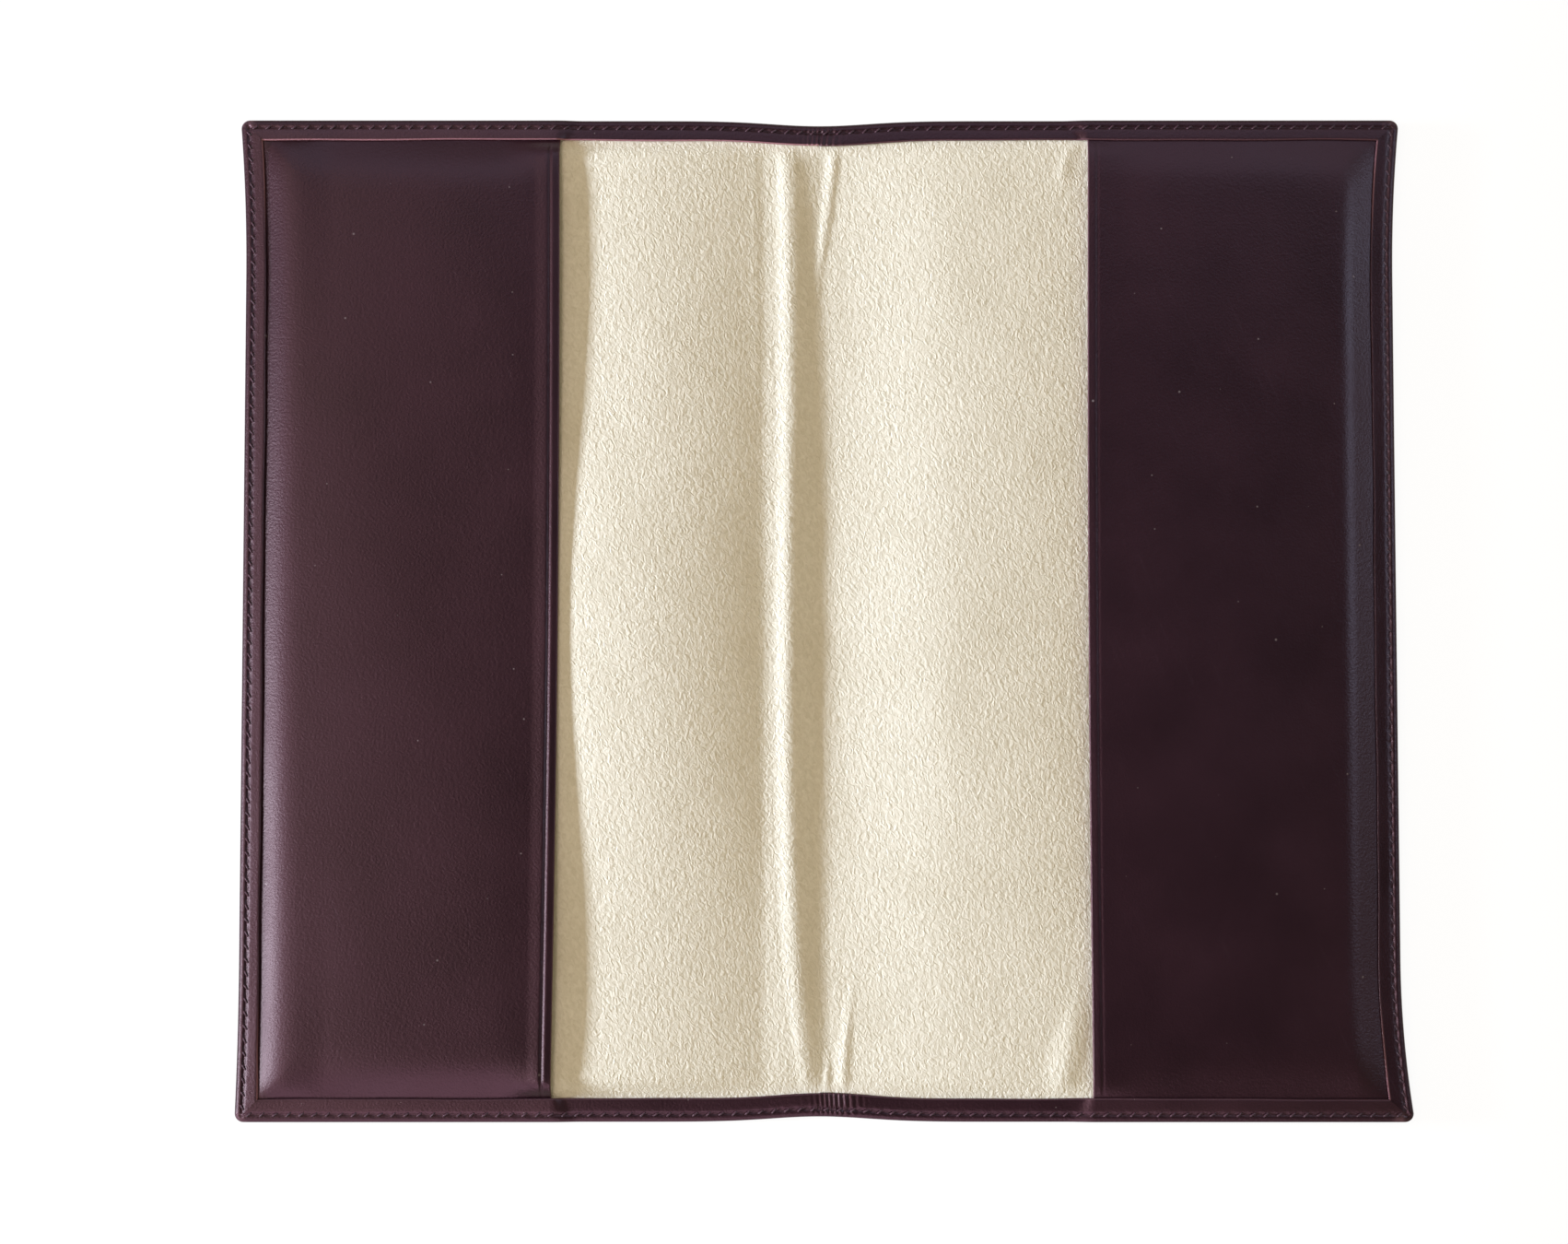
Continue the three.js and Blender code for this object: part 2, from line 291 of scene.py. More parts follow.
def thinned(run, step):
    """Every few stations of a run, with its last, as the coarser corners of a panel."""
    index = np.flatnonzero(run_of == run)
    near_crease = (np.abs(value_of[index]) < CREASE_ZONE) & (run != SIDE)
    fine = index[near_crease][::CREASE_PANEL_STEP]
    rest = index[~near_crease]
    return sorted({*fine.tolist(), *rest[::step].tolist(), index[0], index[-1]})


top_marks, side_marks = thinned(TOP, PANEL_STEP), thinned(SIDE, PANEL_STEP)
bottom_marks = thinned(BOTTOM, PANEL_STEP)[::-1]
top_marks[-1] = side_marks[0] = np.flatnonzero(run_of == TOP_CORNER)[CORNER_MIDDLE]
bottom_marks[-1] = side_marks[-1] = np.flatnonzero(run_of == BOTTOM_CORNER)[CORNER_MIDDLE]


def panel(ring, level, side, first):
    """A flat panel inside a ring of points, its extra points numbered from first, and its spine column."""
    plan = on_outline(np.full(STATIONS, PANEL_INSET), side)
    columns, rows = len(top_marks), len(side_marks)
    node = np.zeros((rows, columns), int)
    node[0], node[-1] = ring[top_marks], ring[bottom_marks]
    node[:, -1] = ring[side_marks]
    extra = []
    for row in range(1, rows - 1):
        for column in range(columns - 1):
            x = plan[0][top_marks[column]] * plan[0][side_marks[row]] / plan[0][top_marks[-1]]
            y = plan[1][side_marks[row]] * (end_at(x) - PANEL_INSET) / (HALF_HEIGHT - PANEL_INSET)
            node[row, column] = first + len(extra)
            extra.append((side * x, y, level))

    def between(a, b):
        return ring[np.arange(a, b, 1 if b > a else -1)].tolist()

    faces = []
    for row in range(rows - 1):
        for column in range(columns - 1):
            above = between(top_marks[column], top_marks[column + 1]) if row == 0 else [node[row, column]]
            right = (between(side_marks[row], side_marks[row + 1]) if column == columns - 2
                     else [node[row, column + 1]])
            below = (between(bottom_marks[column + 1], bottom_marks[column]) if row == rows - 2
                     else [node[row + 1, column + 1]])
            faces.append([int(v) for v in above + right + below + [node[row + 1, column]]])
    return np.array(extra), faces, node[:, 0]


# where the spine bends, the turned edge is crimped: middle and spread at the top and at the bottom
CRIMPS = {1: (0.6, 3.6), -1: (4.0, 4.4)}
CRIMP_HEIGHT, CRIMP_LENGTH, CRIMP_ZONE = 0.13, 1.25, (0.3, 1.0)
# the crimps aren't evenly spaced, and they lean
CRIMP_DRIFT, CRIMP_DRIFT_LENGTH, CRIMP_LEAN = 2.2, 1.9, 0.5
# the thread pulls the leather in at its holes: reach along and across the row, depth inside and outside
PULL_ALONG, PULL_ACROSS, PULL_INSIDE, PULL_OUTSIDE = 0.45, 0.35, 0.16, 0.1
PULL_ZONE = (1.0, 2.6)
# from this inset on the section is stretched to the width of the turned edge
STRETCH_FROM = 2.5
MITRE_DEPTH, MITRE_ZONE = 0.16, (0.6, 1.4)
# turned by hand: size and length of the waves in its width, and of the one in the height of its flat
WIDTH_WAVES = ((0.09, 13.0), (0.05, 5.1))
FLAT_WAVE, FLAT_WAVE_LENGTH, FLAT_ZONE = 0.03, 7.3, (2.2, 3.4)
# how far the turned edge falls towards its outside, and how far its inner part swells
DROOPS = {"left": 0.2, "right": -0.03, "top": 0.2, "bottom": 0.28}
DROOP_ZONE = (0.6, 3.2)
SWELLING = {-1: 1.6, 1: -0.2}
# what lies deeper in the section, from the top of the turned edge, doesn't droop or isn't crimped
DROOP_DOWN_TO, CRIMP_DOWN_TO = -0.4, -0.3
# paler tint on the turned edge over the pockets, partly rubbing and partly a painted sheen: left and right
# half, at the top and at the bottom
RUBBED_AND_SHEEN = {-1: (0.05, 0.055), 1: (0.0, 0.03)}
RUBBED_AND_SHEEN_FROM = (54, 66)
RUBBED_AND_SHEEN_CHANGE, RUBBED_AND_SHEEN_LENGTHS = 0.25, (4.3, 9.7)
# the outer roll is worn paler; the corners are paler still, partly wear and partly a painted glint
ROLL_WEAR, CORNER_WEAR_AND_GLINT_RADIUS = 0.35, 3.2
# share of pale pink on the cut edge, partly bare fibres and partly a painted highlight along the lip: along
# the sides, more near the corners, at the top, at the bottom
BARE_AND_GLINT_SIDES, BARE_AND_GLINT_CORNERS, BARE_AND_GLINT_TOPS, BARE_AND_GLINT_BOTTOM = 0.06, 0.5, {-1: 0.9, 1: 0.2}, 0.1
NEAR_CORNERS = (86, 106)


def outer_cover(side):
    x_line, y_line, length, holes = stitch_line(side)
    to_hole = np.abs(length[:, None] - holes[None, :]).min(1)
    pull = np.exp(-((to_hole / PULL_ALONG) ** 2))
    (slow, slow_length), (quick, quick_length) = WIDTH_WAVES
    width = (hem_widths(side) + slow * np.sin(length / slow_length + side)
             + quick * np.sin(length / quick_length))
    mitre = np.isin(run_of, (TOP_CORNER, BOTTOM_CORNER)) * 1.0
    droop = np.choose(run_of, [DROOPS[word] for word in ("top", "top", WORDS[side], "bottom", "bottom")])
    swelling = np.where(run_of == SIDE, SWELLING[side], 1.0)
    rings = []
    for inset, height, from_top in SECTION:
        drawn = np.full(STATIONS, inset)
        if STRETCH_FROM < inset < PANEL_INSET:
            drawn = (STRETCH_FROM + (inset - STRETCH_FROM) * (width - STRETCH_FROM)
                     / (HEM_WIDTH - STRETCH_FROM))
        x, y = on_outline(drawn, side)
        z = height * np.where((height > 0) & (from_top > 0), swelling, 1.0)
        z = z + from_top * edge_height(np.where(run_of == SIDE, HALF_WIDTH, x), side, inset)
        if from_top and height > DROOP_DOWN_TO and inset < DROOP_ZONE[1]:
            z = z - droop * (1 - smoothstep(inset, *DROOP_ZONE))
        if PULL_ZONE[0] < inset < PULL_ZONE[1]:
            sunk = np.exp(-(((inset - STITCH_INSET) / PULL_ACROSS) ** 2))
            z += (-PULL_INSIDE if from_top else PULL_OUTSIDE) * sunk * pull
        if from_top and height > CRIMP_DOWN_TO:
            end = np.where(y > 0, 1, -1)
            centre = np.where(end > 0, CRIMPS[1][0], CRIMPS[-1][0])
            spread = np.where(end > 0, CRIMPS[1][1], CRIMPS[-1][1])
            crimp = np.exp(-(((side * x - centre) / spread) ** 2)) * (run_of != SIDE)
            drift = CRIMP_DRIFT * np.sin(side * x / CRIMP_DRIFT_LENGTH + end) + CRIMP_LEAN * inset
            wave = np.sin(2 * np.pi * side * x / CRIMP_LENGTH + drift)
            z += CRIMP_HEIGHT * crimp * wave * smoothstep(inset, *CRIMP_ZONE)
            z -= MITRE_DEPTH * mitre * smoothstep(inset, *MITRE_ZONE)
            z += FLAT_WAVE * np.sin(length / FLAT_WAVE_LENGTH + 2 * side) * smoothstep(inset, *FLAT_ZONE)
        rings.append(np.stack([side * x, y, z], 1))
    body = np.stack(rings, 1)
    section_count = len(SECTION)
    points = body.reshape(-1, 3)
    faces = grid_faces(STATIONS, section_count)
    station = np.arange(STATIONS) * section_count
    spine_columns = []
    for ring, level in ((station, 0.0), (station + section_count - 1, COVER_THICKNESS)):
        extra, panel_faces, column = panel(ring, level, side, len(points))
        points = np.concatenate([points, extra])
        faces += panel_faces
        spine_columns.append(column)
    outside, inside = (column.tolist() for column in spine_columns)
    faces += [[outside[i], outside[i + 1], inside[i + 1], inside[i]] for i in range(len(outside) - 1)]
    faces += [list(range(section_count)), list(range(station[-1], station[-1] + section_count))]
    to_corner = np.hypot(np.abs(points[:, 0]) - HALF_WIDTH, np.abs(points[:, 1]) - HALF_HEIGHT)
    wear, cut = np.zeros(len(points)), np.zeros(len(points))
    wear[: STATIONS * section_count].reshape(STATIONS, -1)[:, ROLL_POINTS] = ROLL_WEAR
    # paler corners: wear, and a painted glint on each corner's tip
    wear = np.maximum(wear, np.exp(-((to_corner / CORNER_WEAR_AND_GLINT_RADIUS) ** 2)))
    # the pale pink on the cut edge paints the lip's highlights as well as its bare fibres
    bare_and_glint = np.where(run_of == SIDE, BARE_AND_GLINT_SIDES + BARE_AND_GLINT_CORNERS * smoothstep(np.abs(y_line), *NEAR_CORNERS),
                    np.where(y_line > 0, BARE_AND_GLINT_TOPS[side], BARE_AND_GLINT_BOTTOM))
    # a paler pink painted on the flat of the turned edge over the pockets, partly rubbing and partly its
    # sheen
    rubbed_and_sheen = np.where(y_line > 0, *RUBBED_AND_SHEEN[side]) * smoothstep(x_line, *RUBBED_AND_SHEEN_FROM) * (run_of != SIDE)
    patchy = np.sin(length / RUBBED_AND_SHEEN_LENGTHS[0]) * np.sin(length / RUBBED_AND_SHEEN_LENGTHS[1] + side)
    rubbed_and_sheen = rubbed_and_sheen * (1 + RUBBED_AND_SHEEN_CHANGE * patchy)
    fibres = cut[: STATIONS * section_count].reshape(STATIONS, -1)
    fibres[:, FLAT_POINTS] = rubbed_and_sheen[:, None]
    fibres[:, CUT_POINTS] = bare_and_glint[:, None]
    piece = make_piece(f"outer_cover_{WORDS[side]}", points, faces, wear=wear, cut=cut)
    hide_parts(f"cover_{WORDS[side]}", "cover_spine")
    fold_with_case(piece, side)
    return piece


covers = [outer_cover(side) for side in (-1, 1)]

# %% [markdown]
# ## The pocket panels
# Each pocket is one piece of the same hide, caught under the turned edge on three sides and open
# towards the spine. It stands a few millimetres proud like a shallow pillow, steepest where it comes
# out from under the edge, and that shoulder is what catches the light. Subdividing a box would round
# its straight mouth along with the soft shoulder, so the panel is a closed sheet over a grid, finer at
# the mouth, where a line is creased into the leather beside the cut edge.

# %% Shape of a pocket
# slope beside the turned edge, and the distances between which it eases to level
SIDE_RAMPS = {-1: (0.38, -3.0, 7.6), 1: (0.38, 3.6, 8.2)}
# a slower rise, or fall, further in: its height, and the distance over which it settles
SIDE_CROWNS = {-1: (2.6, 20.0), 1: (-1.2, 26.0)}
# the left shoulder is fuller towards the bottom: by how much, and from where to where down from the middle
FULLER, FULLER_ZONE = 0.25, (-10, 75)
# the same rise from the top and bottom edges as a share of the whole, and the steeper one beside the mouth
END_RAMP, MOUTH_END_RAMP, END_CROWN = (0.085, 1, 14), (0.24, 0, 5), (0.36, 25)
MOUTH_ZONE = (1, 14)
# 1 where the shoulder stays full right up to the corners
FULL_CORNERS = {-1: 1.0, 1: 0.0}
CORNER_ZONE, CORNER_RISE = (3, 16), 3
# under the turned edge the panel is pared thin
TUCKED_THICKNESS = 0.62
THICK_FROM = (-2.0, 9.0)
MOUTH_ROUNDING = 0.3
MOUTH_SLANT = {-1: 0.0052, 1: 0.0}
MOUTH_BOW = {-1: 0.8, 1: 0.55}
# the line creased beside the mouth, its depth at the bottom and at the top, and the raised band it leaves
CREASE_AT, CREASE_WIDTH = 2.2, 0.36
CREASE_DEPTHS = {-1: (0.27, 0.15), 1: (0.08, 0.08)}
CREASE_CHANGES = (-40, 50)
BAND = {-1: 0.2, 1: 0.03}
BAND_ZONE = (2.5, 6.0)
LIP_DROP, LIP_ZONE = 0.12, (0, 1.6)
# they fade between these distances from the top and bottom edges, and show less on the underside
FADE_ZONE = (-1.0, 4.0)
UNDER_CREASE, UNDER_LIP = 0.3, 0.5
# bare fibres with a painted highlight on them, and wear, at the mouth's cut edge: how strong, and how far in
MOUTH_CUT_AND_GLINT, MOUTH_CUT_AND_GLINT_WIDTH = 0.2, 0.16
MOUTH_WEAR, MOUTH_WEAR_WIDTH = 0.2, 0.6


def settle(distance, length):
    """Rises from 0 at the edge towards 1, fast at first."""
    return 1 - np.exp(-np.clip(distance, 0, None) / length)


def ramp(distance, start, end):
    """Height gained on a slope of one that eases to level between two distances."""
    def eased(at):
        t = np.clip((at - start) / (end - start), 0, 1)
        return (end - start) * (t**3 - t**4 / 2) + np.clip(at - end, 0, None)
    distance = np.clip(distance, 0, None)
    return distance - eased(distance) + eased(0.0)


def pocket_panel(side):
    reach = TUCK_X - MOUTHS[side]
    # the grid is fine at the mouth, at the crease, at the shoulder and near the top and bottom edges
    from_mouth = np.concatenate([[0, 0.02, 0.07, 0.15, 0.24, 0.34, 0.48], np.arange(0.65, 8, 0.14),
                                 np.linspace(8, 50, 30), np.linspace(50.5, 65.5, 50),
                                 np.linspace(65.8, reach - 2, 14), [reach - 1, reach]])
    inner_top, inner_bottom = HALF_HEIGHT - HEM_WIDTHS["top"], HALF_HEIGHT - HEM_WIDTHS["bottom"]
    y_line = np.concatenate([np.linspace(-TUCK_Y, -inner_bottom - 0.4, 4),
                             np.linspace(-inner_bottom, -98, 33), np.linspace(-97, 97, 110),
                             np.linspace(98, inner_top, 33), np.linspace(inner_top + 0.4, TUCK_Y, 4)])
    d, y = np.meshgrid(from_mouth, y_line)
    mouth = MOUTHS[side] - MOUTH_SLANT[side] * y - MOUTH_BOW[side] * (1 - (y / TUCK_Y) ** 2)
    across = mouth + (TUCK_X - mouth) * d / reach
    to_end = np.where(y > 0, inner_top - y, inner_bottom + y)
    to_side = side_at(y, side) - HEM_WIDTHS[WORDS[side]] - across
    (slope, start, end), (crown, crown_length) = SIDE_RAMPS[side], SIDE_CROWNS[side]
    fuller = 1 + (FULLER * smoothstep(-y, *FULLER_ZONE) if side < 0 else 0)
    side_rise = slope * fuller * ramp(to_side, start, end) + crown * settle(to_side, crown_length)
    at_mouth = 1 - smoothstep(d, *MOUTH_ZONE)
    inside = END_RAMP[0] * ramp(to_end, *END_RAMP[1:])
    beside_mouth = MOUTH_END_RAMP[0] * ramp(to_end, *MOUTH_END_RAMP[1:])
    end_ramp = inside * (1 - at_mouth) + beside_mouth * at_mouth
    end_rise = end_ramp + END_CROWN[0] * settle(to_end, END_CROWN[1])
    held = FULL_CORNERS[side] * (1 - smoothstep(to_side, *CORNER_ZONE))
    end_rise += np.clip(settle(to_end, CORNER_RISE) - end_rise, 0, None) * held
    # a used pocket is never quite even
    uneven = 1 + (0.03 * np.sin(across / 15.0 + 0.7 * side) * np.sin(y / 33.0 + 1.1)
                  + 0.015 * np.sin(across / 8.0 - y / 21.0 + 2.0) + 0.03 * np.sin(y / 47.0 + side))
    base = POCKET_BASE + side_rise * end_rise * uneven
    emerged = smoothstep(np.minimum(to_side, to_end), *THICK_FROM)
    thickness = TUCKED_THICKNESS + (POCKET_THICKNESS - TUCKED_THICKNESS) * emerged
    lower, upper = CREASE_DEPTHS[side]
    clear = smoothstep(to_end, *FADE_ZONE)
    depth = lower + (upper - lower) * smoothstep(y, *CREASE_CHANGES)
    pressed = depth * np.exp(-(((d - CREASE_AT) / CREASE_WIDTH) ** 2)) * clear
    band = BAND[side] * (1 - smoothstep(d, *BAND_ZONE))
    lip = (band - LIP_DROP * (1 - smoothstep(d, *LIP_ZONE))) * clear
    into = np.clip(MOUTH_ROUNDING - d, 0, None)
    rounding = MOUTH_ROUNDING - np.sqrt(MOUTH_ROUNDING**2 - into**2)
    top = np.stack([side * across, y, base + thickness - pressed - rounding + lip], 2)
    bottom = np.stack([side * across, y, base + rounding - UNDER_CREASE * pressed + UNDER_LIP * lip], 2)
    points, faces = thick_sheet(top, bottom)
    cut = MOUTH_CUT_AND_GLINT * np.exp(-((d / MOUTH_CUT_AND_GLINT_WIDTH) ** 2)).ravel()
    wear = MOUTH_WEAR * np.exp(-((d / MOUTH_WEAR_WIDTH) ** 2)).ravel()
    piece = make_piece(f"pocket_panel_{WORDS[side]}", points, faces,
                       cut=np.concatenate([cut, cut]), wear=np.concatenate([wear, wear]))
    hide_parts(f"pocket_{WORDS[side]}")
    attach(piece, f"{WORDS[side]}_cover")
    return piece


pockets = [pocket_panel(side) for side in (-1, 1)]

# %% [markdown]
# ## The suede lining
# The lining is a single sheet of soft suede, held only under the turned edges and a little too wide for
# the open case. It swells up between the pockets and the spine, and stands in long folds along the
# spine. Cloth simulation would find folds of its own, not these, so each fold is drawn: a smooth line
# for its crest, a height that fades at its ends, and a width for each flank. The sheet is split at the
# middle of the spine like the cover.

# %% Folds of the lining
# distance of each swell's crest from the spine, and its height
SWELLS = {-1: (42.5, 4.2), 1: (32.0, 1.36)}
# how fast it falls for each square millimetre: the left one towards the spine and towards its pocket, the
# right one towards its pocket
LEFT_FALLS, RIGHT_FALL = (0.0033, 0.0025), 0.00145
# the right swell rises in one soft wave, and the left ends on a shelf beside the spine, which then drops
WAVE = 30.0
SHELF, SHELF_START, SHELF_DROP = 1.3, (-34.0, -22.0), (-8.5, 2.2)
SHELF_SOFTNESS = 0.03
# share of a swell's height that is left far from the middle of the case, the rest, and the reach of the rest
SWELL_LEFT, SWELL_MORE, SWELL_REACH = 0.45, 0.55, 58
# from here on, counted from the spine, the lining lies flat under the pockets, and how far before that its
# swells and its ripples start to die away
FLAT_FROM, SWELL_END, RIPPLE_END = 74, 6, 8
# distances from the turned edge between which the swells, the folds and the ripples come to their full
# height, and between which the edge lets go of the lining
SWELL_RISE, FOLD_RISE, RIPPLE_RISE, HELD = (-1, 5), (0.0, 3.2), (0.5, 8), (-0.5, 2.5)
# share of a fold's width that is left where its height fades, and the rest
FOLD_NARROW, FOLD_WIDEN = 0.45, 0.55
# crest as (y, x) places and the order of the curve through them, height, where along y the height fades in
# and out, and the widths of the left and right flanks
FOLDS = (
    (((107, -7.5), (89, -6.7), (75, -6.5), (15, -6.8), (-37, -6.7), (-75, -5.3), (-96, -3.6), (-108, -2.4)),
     4, 0.4, (-136, -88, 86, 138), (4.0, 6.0)),
    (((106, 3.3), (89, 1.4), (79, 0.2)), 2, 0.24, (70, 92, 112, 130), (2.3, 2.0)),
    (((-84, 7.6), (-96, 6.0), (-108, 5.3)), 2, 0.24, (-130, -112, -104, -76), (2.4, 2.0)),
    (((106, -15.0), (60, -14.2)), 1, 0.05, (35, 70, 112, 130), (2.4, 2.4)),
    (((-103, 1.7), (-108, 1.4)), 1, 0.2, (-130, -112, -106, -99), (1.2, 1.4)),
    (((108, 58.0), (104, 56.5), (99, 56.0)), 2, 0.18, (97, 103, 112, 130), (1.6, 2.2)),
    (((-86, 59.0), (-97, 57.0), (-107, 55.0)), 2, 0.35, (-112, -104, -98, -82), (5.0, 5.5)),
)


def lining_height(x, y):
    """Height of the lining's upper face above where it lies flat."""
    inner = np.where(y > 0, end_at(x) - HEM_WIDTHS["top"], end_at(x) - HEM_WIDTHS["bottom"])
    to_hem = inner - np.abs(y)
    to_flat = FLAT_FROM - np.abs(x)
    crown = SWELL_LEFT + SWELL_MORE * np.exp(-((y / SWELL_REACH) ** 2) / 2)
    crown = crown * smoothstep(to_hem, *SWELL_RISE)
    shelf = SHELF * smoothstep(x, *SHELF_START) * (1 - smoothstep(x, *SHELF_DROP))
    (left_crest, left_height), (right_crest, right_height) = SWELLS[-1], SWELLS[1]
    left = left_height - np.where(x > -left_crest, *LEFT_FALLS) * (x + left_crest) ** 2 - shelf
    left = shelf + (left + np.sqrt(left**2 + SHELF_SOFTNESS)) / 2 * (x < 0)
    beyond = np.clip(x - right_crest, 0, None)
    right = right_height * smoothstep(x, right_crest - WAVE, right_crest) - RIGHT_FALL * beyond**2
    height = crown * (left + np.maximum(right, 0) * (x > 0)) * smoothstep(to_flat, 0, SWELL_END)
    for places, order, tall, (fade_in, full, leave, gone), (left_flank, right_flank) in FOLDS:
        ys, xs = np.array(places).T
        crest_x = np.polyval(np.polyfit(ys, xs, order), np.clip(y, min(ys) - 3, max(ys) + 3))
        across = x - crest_x
        along = smoothstep(y, fade_in, full) * (1 - smoothstep(y, leave, gone))
        narrowed = FOLD_NARROW + FOLD_WIDEN * along
        flank = np.where(across < 0, left_flank, right_flank) * narrowed
        t = np.clip(np.abs(across) / flank, 0, 1)
        height += tall * along * (1 + np.cos(np.pi * t)) / 2 * smoothstep(to_hem, *FOLD_RISE)
    # loose suede is never quite flat: fine ripples and long low waves
    ripples = 0.02 * np.sin(x / 3.1 + 1.3 * np.sin(y / 9.0)) * np.sin(y / 4.3)
    soft = ripples + 0.05 * np.sin(x / 11.0 + y / 17.0)
    height = height + soft * smoothstep(to_hem, *RIPPLE_RISE) * smoothstep(to_flat, 0, RIPPLE_END)
    return height * smoothstep(to_hem, *HELD)


print(len(FOLDS), "folds in the lining")

# %% Make the two halves of the lining
LINING_ROWS = 181


def suede_lining(side):
    # the grid is fine across the folds and coarse under the pockets
    across = np.concatenate([np.arange(0, 16, 0.4), np.arange(16, 75, 1.0), np.linspace(75, TUCK_X, 15)])
    y_line = np.linspace(-TUCK_Y, TUCK_Y, LINING_ROWS)
    x, y = np.meshgrid(side * across, y_line)
    z = LINING_BASE + np.maximum(lining_height(x, y), 0)
    top = np.stack([x, y, z + LINING_THICKNESS], 2)
    bottom = np.stack([x, y, z], 2)
    points, faces = thick_sheet(top, bottom)
    piece = make_piece(f"suede_lining_{WORDS[side]}", points, faces)
    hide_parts(f"lining_{WORDS[side]}", "lining_spine")
    fold_with_case(piece, side)
    return piece


linings = [suede_lining(side) for side in (-1, 1)]

# %% [markdown]
# ## The stitches
# One row of waxed thread runs all round. Each stitch is a short arch of thread that dives into a hole
# at both ends and lies a little aslant, as saddle stitches do. A ribbon with a dashed texture would
# look printed, so every stitch is its own small tube; they share one mesh for each half of the case.
# The same stitches show on the outside, sunk in a groove so that the case lies flat.

# %% Stitches, inside and outside
STITCH_LENGTH = 1.9
THREAD_RADIUS = 0.24
SLANT = math.radians(36)
RINGS, ROUND = 7, 8
# half the length of the row from which a stitch takes its direction
LOOK_AHEAD = 0.5
# sewn by hand: how much the slant, in radians, and the length change from stitch to stitch
SLANT_CHANGE, LENGTH_CHANGE = 0.12, 0.05
# how much thinner the thread is at its ends, and how flat the outer stitches are pressed
TAPER, PRESSED = 0.55, 0.8
# the thread's level and how far its ends dive into the holes: outside from the table, inside from the edge
OUTSIDE_LEVEL, OUTSIDE_DIVE = 0.24, 0.26
INSIDE_SINK, INSIDE_DIVE = 0.14, 0.34


def stitch_row(side):
    x_line, y_line, length, holes = stitch_line(side)
    middles = (holes[:-1] + holes[1:]) / 2
    turn = np.linspace(0, 2 * np.pi, ROUND, endpoint=False)
    t = np.linspace(-1, 1, RINGS)
    blocks, faces, count = [], [], 0
    for outside in (False, True):
        for number, middle in enumerate(middles):
            x = np.interp(middle, length, x_line)
            y = np.interp(middle, length, y_line)
            ahead = np.array([np.interp(middle + LOOK_AHEAD, length, line)
                              - np.interp(middle - LOOK_AHEAD, length, line) for line in (x_line, y_line)])
            ahead = ahead / np.hypot(*ahead)
            aslant = side * SLANT * (-1 if outside else 1) + SLANT_CHANGE * math.sin(number * 2.4)
            along = np.array([ahead[0] * math.cos(aslant) - ahead[1] * math.sin(aslant),
                              ahead[0] * math.sin(aslant) + ahead[1] * math.cos(aslant)])
            beside = np.array([-along[1], along[0]])
            half = STITCH_LENGTH / 2 * (1 + LENGTH_CHANGE * math.sin(number * 1.7))
            plan = np.array([x, y]) + np.outer(t * half, along)
            thick = THREAD_RADIUS * (1 - TAPER * t**6)
            if outside:
                level = OUTSIDE_LEVEL + OUTSIDE_DIVE * t**4
            else:
                along_end = plan[:, 0] if abs(y) > corner_y - CORNER_RADIUS else HALF_WIDTH
                level = edge_height(along_end, side, STITCH_INSET) - INSIDE_SINK - INSIDE_DIVE * t**4
            rings = np.stack([
                np.stack([side * (plan[:, 0] + thick * c * beside[0]), plan[:, 1] + thick * c * beside[1],
                          level + (PRESSED if outside else 1) * thick * s], 1)
                for c, s in zip(np.cos(turn), np.sin(turn))], 1)
            blocks.append(rings.reshape(-1, 3))
            ring = count + np.arange(RINGS * ROUND).reshape(RINGS, ROUND)
            after = np.roll(ring, -1, 1)
            faces += np.stack([ring[:-1], after[:-1], after[1:], ring[1:]], 2).reshape(-1, 4).tolist()
            faces += [ring[0].tolist(), ring[-1][::-1].tolist()]
            count += RINGS * ROUND
    piece = make_piece(f"edge_stitches_{WORDS[side]}", np.concatenate(blocks), faces)
    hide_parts(f"stitching_{WORDS[side]}", "stitching_spine_top", "stitching_spine_bottom")
    fold_with_case(piece, side)
    print(len(middles), "stitches on the", WORDS[side], "half")
    return piece


stitches = [stitch_row(side) for side in (-1, 1)]

# %% [markdown]
# ## Colours and nodes
# Colours are written as the hex values a designer would pick and turned to linear light by one
# function. A second small function adds a shader node, sets its values and links its inputs, so that
# each material below reads as a list of what it is made of.

# %% Helpers for materials


def linear(hex_colour):
    parts = [int(hex_colour[i : i + 2], 16) / 255 for i in (1, 3, 5)]
    return tuple(p / 12.92 if p <= 0.04045 else ((p + 0.055) / 1.055) ** 2.4 for p in parts) + (1.0,)


def add(tree, kind, inputs=None, **settings):
    made = tree.nodes.new(kind)
    for name, value in settings.items():
        setattr(made, name, value)
    for name, value in (inputs or {}).items():
        if isinstance(value, bpy.types.NodeSocket):
            tree.links.new(value, made.inputs[name])
        else:
            made.inputs[name].default_value = value
    return made


def new_material(name, colour):
    material = bpy.data.materials.new(name)
    material.use_nodes = True
    material.diffuse_color = linear(colour)
    material.node_tree.nodes.clear()
    return material, material.node_tree


def dress(piece, material):
    piece.data.materials.clear()
    piece.data.materials.append(material)


print("mid grey in linear light:", [round(part, 3) for part in linear("#808080")])

# %% [markdown]
# ## Polished oxblood hide
# Smooth calf leather, dyed deep oxblood and glazed: the dye gives a brown that turns to plum where it
# is lit, and the glazing a soft sheen. Calf has fine pores. Handling leaves faint hair lines and paler,
# rubbed edges; at the corners the paler colour is also a painted glint. The cut edges keep the pinker
# colour of the dyed fibres, drawn paler so that it also paints the highlights along the lips and a sheen
# on the turned edge over the pockets.

# %% Leather material
HIDE_DARK, HIDE_WARM = "#1D1015", "#281118"
